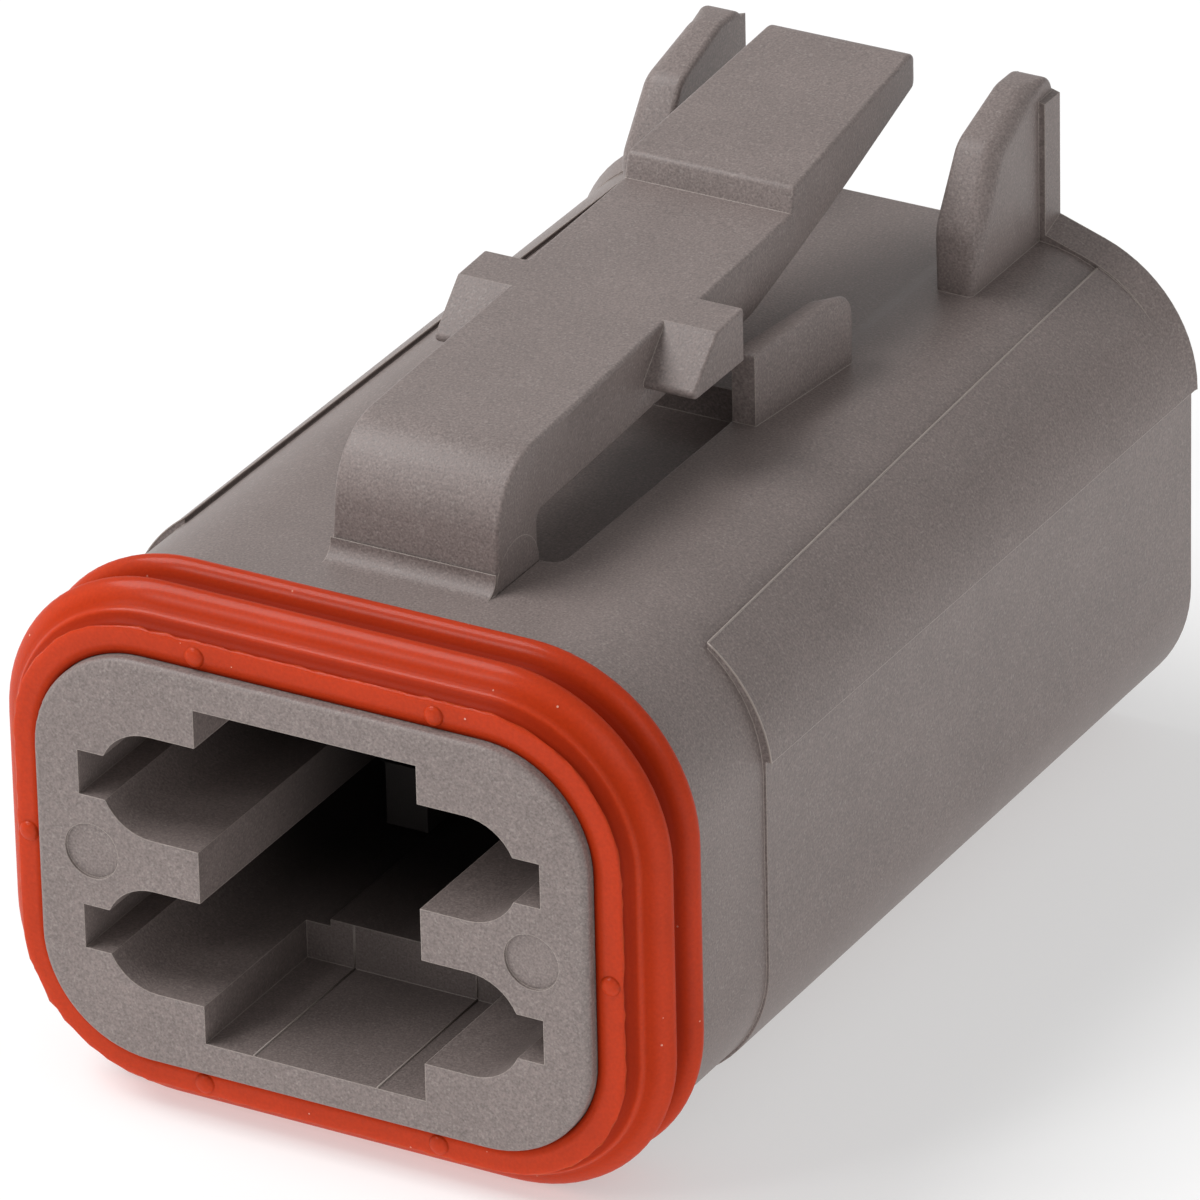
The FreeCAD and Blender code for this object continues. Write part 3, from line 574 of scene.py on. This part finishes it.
def refined_mesh(node, name, finish):
    """A CAD node's mesh, welded and shaded smooth, and sharp only at its real edges."""
    mesh = bpy.data.meshes.new(name)
    work = bmesh.new()
    work.from_mesh(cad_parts[node].data)
    bmesh.ops.remove_doubles(work, verts=work.verts, dist=WELD_DISTANCE)
    work.normal_update()
    for face in work.faces:
        face.smooth = True
    for edge in work.edges:
        edge.smooth = len(edge.link_faces) == 2 and edge.calc_face_angle(0.0) < SHARP_ANGLE
    work.to_mesh(mesh)
    work.free()
    mesh.materials.append(material_of(finish))
    return mesh


def add_bead(work, points, radius, material_index):
    """A thin bead of flash along a line of points, closed at both ends."""
    rings = []
    for number, point in enumerate(points):
        before = points[max(number - 1, 0)]
        after = points[min(number + 1, len(points) - 1)]
        turn = (after - before).normalized().to_track_quat("Z", "Y")
        ring = []
        for side in range(BEAD_SIDES):
            angle = math.tau * side / BEAD_SIDES
            spoke = turn @ Vector((math.cos(angle), math.sin(angle), 0))
            ring.append(work.verts.new(point + spoke * radius))
        rings.append(ring)
    faces = [work.faces.new(reversed(rings[0])), work.faces.new(rings[-1])]
    for first, second in zip(rings, rings[1:]):
        for side in range(BEAD_SIDES):
            nxt = (side + 1) % BEAD_SIDES
            faces.append(work.faces.new((first[side], first[nxt], second[nxt], second[side])))
    for face in faces:
        face.material_index = material_index
        face.smooth = True


def local(across, depth, height):
    """A point from millimetres off the nose's front and axis."""
    return Vector((across * MM, NOSE_FRONT + depth * MM, AXIS_HEIGHT + height * MM))


def flash_lines(flash):
    """The parting line over both cheeks and the core's split lines, as lists of points."""
    corner = Vector((flash.cheek_half_width - flash.cheek_corner,
                     flash.cheek_top - flash.cheek_corner)) / MM
    radius = flash.cheek_corner / MM
    start = Vector(PARTING_FRONT)
    finish = Vector(PARTING_REAR)
    first = math.acos((PARTING_FRONT[0] - corner.x) / radius)
    last = math.asin((BEND_END - corner.y) / radius)
    lines = []
    for side in (-1, 1):
        run = []
        for step in range(PARTING_STEPS + 1):
            across, depth = start.lerp(finish, step / PARTING_STEPS)
            height = corner.y + math.sqrt(radius ** 2 - (across - corner.x) ** 2)
            run.append(local(side * across, depth, height))
        bend = []
        for step in range(BEND_STEPS + 1):
            angle = first + (last - first) * step / BEND_STEPS
            bend.append(local(side * (corner.x + radius * math.cos(angle)), PARTING_FRONT[1],
                              corner.y + radius * math.sin(angle)))
        split = side * SPLIT_ACROSS
        lines += [run, bend,
                  [local(split, depth, SPLIT_HEIGHT) for depth in SPLIT_DEPTHS],
                  [local(split, LEDGE_DEPTH, height) for height in LEDGE_HEIGHTS]]
    return lines


def round_ears(mesh, ear, foot):
    """Round the ears' outer edges further, swell their shoulders, and let their sides lean out."""
    growth = ear.new_round / ear.old_round - 1.0
    middle = Vector((ear.rear - MIDDLE_AHEAD, foot + MIDDLE_RISE))
    for vertex in mesh.vertices:
        depth = vertex.co.y - NOSE_FRONT
        height = vertex.co.z - AXIS_HEIGHT
        inward = ear.outer - abs(vertex.co.x)
        above = clamp((height - foot - FOOT_KEPT) / FOOT_BLEND)
        beside = -EAR_SLACK < inward < EAR_REACH
        if not (beside and ear.front - EAR_MARGIN < depth < ear.rear and above > 0.0):
            continue
        side = math.copysign(1.0, vertex.co.x)
        ahead = clamp((ear.rear - RIM_KEPT - depth) / RIM_BLEND)
        rise = clamp((height - foot) / ear.rise)
        swell = ear.swell * math.sin(math.pi * rise ** SWELL_CURVE) * ahead
        vertex.co.y -= swell * SWELL_SLANT
        vertex.co.z += swell * SWELL_SLANT
        if inward < ear.old_round * ROUND_SLACK:
            share = clamp(inward / ear.old_round)
            back = ear.old_round * (1.0 - math.sqrt(1.0 - (1.0 - share) ** 2)) * growth * above
            way = (middle - Vector((depth, height))).normalized()
            vertex.co.x -= side * inward * growth * above
            vertex.co.y += way.x * back
            vertex.co.z += way.y * back
        lean = 1.0 - clamp((depth - ear.front) / (ear.rear - ear.front))
        if inward < EAR_SIDE:
            vertex.co.x += side * ear.spread * lean * above


def stretch_fences(mesh, fence, foot):
    """Draw the fences out to their rear ends."""
    for vertex in mesh.vertices:
        share = (vertex.co.y - NOSE_FRONT - fence.front) / fence.length
        height = vertex.co.z - AXIS_HEIGHT
        beside = fence.inner < abs(vertex.co.x) < fence.outer
        if beside and 0.0 < share < FENCE_END and height > foot - FENCE_SLACK:
            vertex.co.y += fence.reach * share
            vertex.co.z += fence.rise * share * clamp((height - foot) / FENCE_BLEND)


class MOULD_OT_housing(bpy.types.Operator):
    """Build the grey housing over its CAD solid, with its flash, ears and fences"""

    bl_idname = "connector.housing"
    bl_label = "Housing"

    def execute(self, context):
        scene = context.scene
        flash = scene.connector_flash
        mesh = refined_mesh("housing", "housing_shell", "matte_plastic")
        flash_index = len(mesh.materials)
        mesh.materials.append(material_of("flash_plastic"))
        round_ears(mesh, scene.connector_ear, flash.cheek_top)
        stretch_fences(mesh, scene.connector_fence, flash.cheek_top)
        work = bmesh.new()
        work.from_mesh(mesh)
        for line in flash_lines(flash):
            add_bead(work, line, flash.radius, flash_index)
        work.to_mesh(mesh)
        work.free()
        new_piece("housing_shell", mesh, "shell", "housing_plastic", "housing")
        return {"FINISHED"}


def spread_pad(mesh, latch):
    """Widen the arm behind its wings, and draw the finger pad out to its rear."""
    for vertex in mesh.vertices:
        depth = vertex.co.y - NOSE_FRONT
        across = abs(vertex.co.x)
        if depth < latch.arm_start or across > PAD_REACH:
            continue
        share = clamp((depth - latch.pad_start) / (latch.pad_end - latch.pad_start))
        spread = latch.arm_spread + (latch.end_spread - latch.arm_spread) * share
        vertex.co.x += math.copysign(spread * min(across / PAD_MIDDLE, 1.0), vertex.co.x)
        vertex.co.y += latch.end_reach * share
        vertex.co.z -= latch.end_drop * share


class MOULD_OT_latch(bpy.types.Operator):
    """Build the latch over its CAD solid, with its wider arm and finger pad"""

    bl_idname = "connector.latch"
    bl_label = "Latch"

    def execute(self, context):
        mesh = refined_mesh("latch_arm", "latch_moulding", "matte_plastic")
        spread_pad(mesh, context.scene.connector_latch)
        new_piece("latch_moulding", mesh, "latch", "housing_plastic", "latch_arm")
        return {"FINISHED"}


def ring_path(half_width, half_height):
    """Points round a rounded rectangle with their outward directions."""
    places = []
    centres = ((1, 1), (-1, 1), (-1, -1), (1, -1))
    for turn, (right, up) in enumerate(centres):
        centre = Vector(((half_width - RING_CORNER) * right, (half_height - RING_CORNER) * up))
        for number in range(CORNER_STEPS + 1):
            angle = math.pi / 2 * (turn + number / CORNER_STEPS)
            outward = Vector((math.cos(angle), math.sin(angle)))
            places.append((centre + outward * RING_CORNER, outward))
        last, outward = places[-1]
        right, up = centres[(turn + 1) % len(centres)]
        centre = Vector(((half_width - RING_CORNER) * right, (half_height - RING_CORNER) * up))
        start = centre + outward * RING_CORNER
        runs = max(2, int((start - last).length / RING_STEP))
        for number in range(1, runs):
            places.append((last.lerp(start, number / runs), outward))
    return places


def add_ring(work, path, face_depth, flash):
    """Sweep the seal's section along a path, ragged where the face's edge is."""
    # Each vertex carries the painted shade of its point in the section
    shaded = work.verts.layers.float.new("shaded")
    rings = []
    for place, outward in path:
        ring = []
        for number, (depth, height, shade) in enumerate(SEAL_SECTION):
            if number in RAGGED_POINTS:
                spot = Vector((place.x, place.y, number * RAG_STEP * MM)) / RAG_SIZE
                height += noise.noise(spot) * flash / MM
                depth += noise.noise(spot + RAG_SHIFT) * flash / MM * RAG_DEPTH
            at = place + outward * height * MM
            vertex = work.verts.new((at.x, face_depth + max(depth, 0.0) * MM, at.y + AXIS_HEIGHT))
            vertex[shaded] = shade
            ring.append(vertex)
        rings.append(ring)
    for number, ring in enumerate(rings):
        after = rings[(number + 1) % len(rings)]
        for index in range(len(ring)):
            nxt = (index + 1) % len(ring)
            work.faces.new((ring[index], ring[nxt], after[nxt], after[index]))


def add_pips(work, side, top, face_depth, seal):
    """The moulded pips as half-sunk domes on the seal's face."""
    for (right, up), (across, rise) in PIPS:
        place = (right * side + across * MM, face_depth, up * top + rise * MM + AXIS_HEIGHT)
        turn = (Matrix.Translation(place)
                @ Matrix.Diagonal((seal.pip_radius, seal.pip_height, seal.pip_radius, 1.0)))
        bmesh.ops.create_uvsphere(work, u_segments=PIP_SEGMENTS, v_segments=PIP_RINGS,
                                  radius=1.0, matrix=turn)


class MOULD_OT_seal(bpy.types.Operator):
    """Build the ribbed seal with its ragged face edge and pips"""

    bl_idname = "connector.seal"
    bl_label = "Interface seal"

    def execute(self, context):
        seal = context.scene.connector_seal
        half_width = (SEAL_HIGH.x - SEAL_LOW.x) / 2 - RIB_HEIGHT
        half_height = (SEAL_HIGH.z - SEAL_LOW.z) / 2 - RIB_HEIGHT
        face_depth = SEAL_LOW.y + seal.pip_height
        work = bmesh.new()
        add_ring(work, ring_path(half_width, half_height), face_depth, seal.flash)
        add_pips(work, half_width + PIP_OUT, half_height + PIP_OUT, face_depth, seal)
        bmesh.ops.recalc_face_normals(work, faces=work.faces)
        for face in work.faces:
            face.smooth = True
        mesh = bpy.data.meshes.new("seal_ring")
        work.to_mesh(mesh)
        work.free()
        mesh.materials.append(material_of("satin_silicone"))
        new_piece("seal_ring", mesh, "shell", "seal_silicone", "interface_seal")
        return {"FINISHED"}


class MOULD_OT_rear(bpy.types.Operator):
    """Finish the wire seal and the plate behind it"""

    bl_idname = "connector.rear"
    bl_label = "Wire seal and plate"

    def execute(self, context):
        for node, finish, slot in (("wire_grommet", "satin_silicone", "seal_silicone"),
                                   ("grommet_retainer", "matte_plastic", "housing_plastic")):
            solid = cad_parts[node]
            solid.data.materials.clear()
            solid.data.materials.append(material_of(finish))
        return {"FINISHED"}


def strength_for_eye(tree, lit, seen):
    """One strength for light that falls on things, another for what camera and gloss show."""
    path = tree.nodes.new("ShaderNodeLightPath")
    either = maths(tree, "MAXIMUM", path.outputs["Is Camera Ray"], path.outputs["Is Glossy Ray"])
    shown = maths(tree, "MAXIMUM", either, path.outputs["Is Transmission Ray"])
    return maths(tree, "MULTIPLY_ADD", shown, seen - lit, lit)


def make_floor(scene):
    """A pale floor with an even glow."""
    mesh = bpy.data.meshes.new("floor")
    mesh.from_pydata([(-FLOOR_HALF, -FLOOR_HALF, 0), (FLOOR_HALF, -FLOOR_HALF, 0),
                      (FLOOR_HALF, FLOOR_HALF, 0), (-FLOOR_HALF, FLOOR_HALF, 0)],
                     [], [(0, 1, 2, 3)])
    floor = bpy.data.objects.new("floor", mesh)
    scene.collection.objects.link(floor)
    paint = bpy.data.materials.new("pale_floor")
    paint.use_nodes = True
    tree = paint.node_tree
    tree.nodes.clear()
    out = tree.nodes.new("ShaderNodeOutputMaterial")
    plain = tree.nodes.new("ShaderNodeBsdfDiffuse")
    plain.inputs["Color"].default_value = FLOOR_COLOUR
    glow = tree.nodes.new("ShaderNodeEmission")
    tree.links.new(strength_for_eye(tree, FLOOR_LIT, FLOOR_SEEN), glow.inputs["Strength"])
    both = tree.nodes.new("ShaderNodeAddShader")
    tree.links.new(plain.outputs[0], both.inputs[0])
    tree.links.new(glow.outputs[0], both.inputs[1])
    tree.links.new(both.outputs[0], out.inputs["Surface"])
    mesh.materials.append(paint)


def make_sky(scene):
    """Even light from all round, which the camera sees as near white."""
    world = bpy.data.worlds.new("studio")
    scene.world = world
    world.use_nodes = True
    tree = world.node_tree
    tree.nodes.clear()
    out = tree.nodes.new("ShaderNodeOutputWorld")
    sky = tree.nodes.new("ShaderNodeBackground")
    tree.links.new(strength_for_eye(tree, SKY_LIT, SKY_SEEN), sky.inputs["Strength"])
    tree.links.new(sky.outputs[0], out.inputs["Surface"])


def make_softboxes(scene):
    """Square lights that look at the connector's middle."""
    target = Vector((0.0, 0.0, AXIS_HEIGHT))
    for name, direction, width, power in SOFTBOXES:
        data = bpy.data.lights.new(name, "AREA")
        data.shape = "SQUARE"
        data.size = width
        data.energy = power
        light = bpy.data.objects.new(name, data)
        light.location = target + Vector(direction) * LIGHT_DISTANCE
        light.rotation_mode = "QUATERNION"
        light.rotation_quaternion = (target - light.location).to_track_quat("-Z", "Y")
        scene.collection.objects.link(light)


def make_camera(scene, stage):
    """The camera at the photograph's viewing angle."""
    data = bpy.data.cameras.new("camera")
    data.lens = stage.lens
    data.sensor_width = SENSOR_WIDTH
    data.clip_start, data.clip_end = CAMERA_RANGE
    camera = bpy.data.objects.new("camera", data)
    turn = (Matrix.Rotation(math.radians(stage.azimuth), 4, "Z")
            @ Matrix.Rotation(math.radians(90 - stage.elevation), 4, "X")
            @ Matrix.Rotation(math.radians(stage.roll), 4, "Z"))
    camera.matrix_world = Matrix.Translation(stage.eye) @ turn
    scene.collection.objects.link(camera)
    scene.camera = camera


class MOULD_OT_stage(bpy.types.Operator):
    """Set the floor, the light and the camera"""

    bl_idname = "connector.stage"
    bl_label = "Stage"

    def execute(self, context):
        scene = context.scene
        scene.view_settings.view_transform = "Standard"
        make_floor(scene)
        make_sky(scene)
        make_softboxes(scene)
        make_camera(scene, scene.connector_stage)
        return {"FINISHED"}


class MOULD_PT_panel(bpy.types.Panel):
    """Lists the connector's operators"""

    bl_idname = "MOULD_PT_panel"
    bl_label = "Sealed connector"
    bl_space_type = "VIEW_3D"
    bl_region_type = "UI"
    bl_category = "Connector"

    def draw(self, context):
        for operator in OPERATORS:
            self.layout.operator(operator.bl_idname)


SETTINGS = {
    "connector": ConnectorSettings,
    "connector_flash": FlashSettings,
    "connector_ear": EarSettings,
    "connector_fence": FenceSettings,
    "connector_latch": LatchSettings,
    "connector_seal": SealSettings,
    "connector_stage": StageSettings,
}
OPERATORS = (MOULD_OT_housing, MOULD_OT_latch, MOULD_OT_seal, MOULD_OT_rear, MOULD_OT_stage)
CLASSES = (*SETTINGS.values(), *OPERATORS, MOULD_PT_panel)


def register():
    for item in CLASSES:
        bpy.utils.register_class(item)
    for name, group in SETTINGS.items():
        setattr(bpy.types.Scene, name, PointerProperty(type=group))


def unregister():
    for name in reversed(SETTINGS):
        delattr(bpy.types.Scene, name)
    for item in reversed(CLASSES):
        bpy.utils.unregister_class(item)


def main():
    """Build every piece and the stage."""
    register()
    bpy.ops.connector.housing()
    bpy.ops.connector.latch()
    bpy.ops.connector.seal()
    bpy.ops.connector.rear()
    bpy.ops.connector.stage()


if __name__ == "__main__":
    main()
